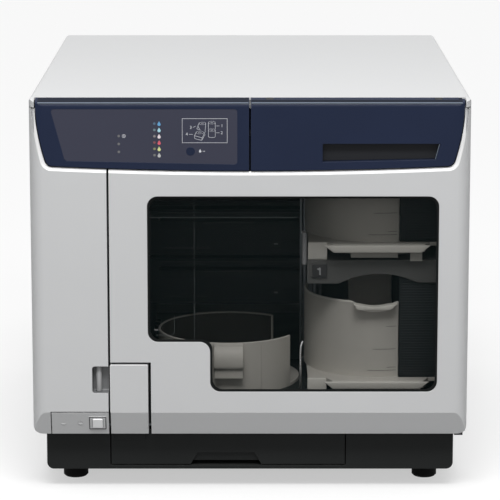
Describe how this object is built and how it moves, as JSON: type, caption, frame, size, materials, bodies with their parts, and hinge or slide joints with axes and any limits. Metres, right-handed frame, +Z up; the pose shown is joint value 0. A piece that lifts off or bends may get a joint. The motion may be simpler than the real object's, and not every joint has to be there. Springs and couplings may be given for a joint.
{
  "type": "disc label printer",
  "caption": "Desktop disc publisher with a windowed side-hinged cover, ink cover, drawer, disc stackers, two disc drives, an inkjet unit and a robot arm.",
  "frame": {"origin": "on the standing surface, under the middle of the bounding box", "axes": "+Z up, -Y out of the front, +X to the right as seen from the front"},
  "size_m": [0.377, 0.465, 0.348],
  "materials": {
    "base_black": "fine grain",
    "rubber": "matte",
    "silver_plastic": "satin",
    "navy_plastic": "semi-gloss",
    "overlay": "satin",
    "smoked_pane": "clear, smoked",
    "gasket": "matte",
    "stacker_grey": "satin",
    "dark_plastic": "satin",
    "steel": "zinc plated",
    "bright_steel": "ground",
    "board": "lacquered",
    "lights": "clear",
    "cartridge": "satin",
    "white_button": "satin"
  },
  "bodies": {
    "body": {"base_tray": "base_black", "rubber_feet": "rubber", "chassis_floor": "steel", "front_frame": "dark_plastic", "left_side_panel": "silver_plastic", "right_side_panel": "silver_plastic", "top_cover": "silver_plastic", "rear_panel": "silver_plastic", "left_front_panel": "silver_plastic", "panel_rim": "silver_plastic", "power_panel": "silver_plastic", "control_panel": "navy_plastic", "control_overlay": "overlay", "status_lights": "lights", "ink_lights": "lights", "control_board": "board", "hinge_brackets": "steel", "hinge_pins": "bright_steel", "ink_bay": "dark_plastic", "ink_cartridges": "cartridge", "drawer_rails": "steel", "cabin_floor": "dark_plastic", "cabin_left_wall": "dark_plastic", "cabin_right_wall": "dark_plastic", "cabin_back_wall": "dark_plastic", "stacker_1": "stacker_grey", "stacker_2": "stacker_grey", "stacker_3": "stacker_grey", "stacker_shelf": "dark_plastic", "drive_cage": "steel", "drive_1_case": "dark_plastic", "drive_2_case": "dark_plastic", "printer_case": "dark_plastic", "carriage_shaft": "bright_steel", "arm_column": "steel", "guide_shaft": "bright_steel", "lift_motor": "steel", "power_supply": "steel", "main_board": "board", "rear_sockets": "dark_plastic", "fan_frame": "dark_plastic"},
    "disc_cover": {"disc_cover": "silver_plastic", "cover_rim": "silver_plastic", "window_pane": "smoked_pane", "window_gasket": "gasket"},
    "ink_cover": {"ink_cover": "navy_plastic"},
    "drawer": {"drawer_front": "base_black", "drawer_tower": "silver_plastic", "drawer_tray": "dark_plastic"},
    "power_button": {"power_button": "white_button"},
    "cleaning_button": {"cleaning_button": "navy_plastic"},
    "drive_1_tray": {"drive_1_tray": "dark_plastic"},
    "drive_2_tray": {"drive_2_tray": "dark_plastic"},
    "printer_tray": {"printer_tray": "dark_plastic"},
    "print_carriage": {"print_carriage": "dark_plastic"},
    "arm_lift": {"arm_carriage": "dark_plastic"},
    "arm": {"gripper_arm": "dark_plastic", "gripper_head": "dark_plastic"},
    "lift_screw": {"lift_screw": "bright_steel"},
    "fan_rotor": {"fan_rotor": "dark_plastic"}
  },
  "joints": [
    {"name": "disc_cover_hinge", "type": "hinge", "parent": "body", "child": "disc_cover", "pos_m": [0.1835, -0.2165, 0.2], "axis": [0, 0, 1], "range_deg": [0, 95]},
    {"name": "ink_cover_hinge", "type": "hinge", "parent": "body", "child": "ink_cover", "pos_m": [0.09, -0.2247, 0.3458], "axis": [-1, 0, 0], "range_deg": [0, 75]},
    {"name": "drawer_slide", "type": "slide", "parent": "body", "child": "drawer", "axis": [0, -1, 0], "range_m": [0, 0.15]},
    {"name": "power_button_press", "type": "slide", "parent": "body", "child": "power_button", "axis": [0, 0.9468, 0.3217], "range_m": [0, 0.0012], "stiffness_N_per_m": 600, "springref_m": -0.0015},
    {"name": "cleaning_button_press", "type": "slide", "parent": "body", "child": "cleaning_button", "axis": [0, 1, 0], "range_m": [0, 0.001], "stiffness_N_per_m": 500, "springref_m": -0.0015},
    {"name": "drive_1_tray_slide", "type": "slide", "parent": "body", "child": "drive_1_tray", "axis": [0, -1, 0], "range_m": [0, 0.138]},
    {"name": "drive_2_tray_slide", "type": "slide", "parent": "body", "child": "drive_2_tray", "axis": [0, -1, 0], "range_m": [0, 0.138]},
    {"name": "printer_tray_slide", "type": "slide", "parent": "body", "child": "printer_tray", "axis": [0, -1, 0], "range_m": [0, 0.138]},
    {"name": "print_carriage_slide", "type": "slide", "parent": "body", "child": "print_carriage", "axis": [1, 0, 0], "range_m": [-0.034, 0.034]},
    {"name": "arm_lift_slide", "type": "slide", "parent": "body", "child": "arm_lift", "axis": [0, 0, 1], "range_m": [-0.198, 0]},
    {"name": "arm_swing", "type": "hinge", "parent": "arm_lift", "child": "arm", "pos_m": [0.04665, -0.0865, 0.3], "axis": [0, 0, 1], "range_deg": [0, 120.6]},
    {"name": "lift_screw_turn", "type": "hinge", "parent": "body", "child": "lift_screw", "pos_m": [0.0505, -0.0725, 0.2], "axis": [0, 0, 1], "range_deg": [-7200, 10]},
    {"name": "fan_spin", "type": "hinge", "parent": "body", "child": "fan_rotor", "pos_m": [0.1, 0.22, 0.25], "axis": [0, 1, 0], "continuous": true}
  ],
  "couplings": [
    {"joint": "lift_screw_turn", "follows": "arm_lift_slide", "rad_per_m": 628.32}
  ]
}
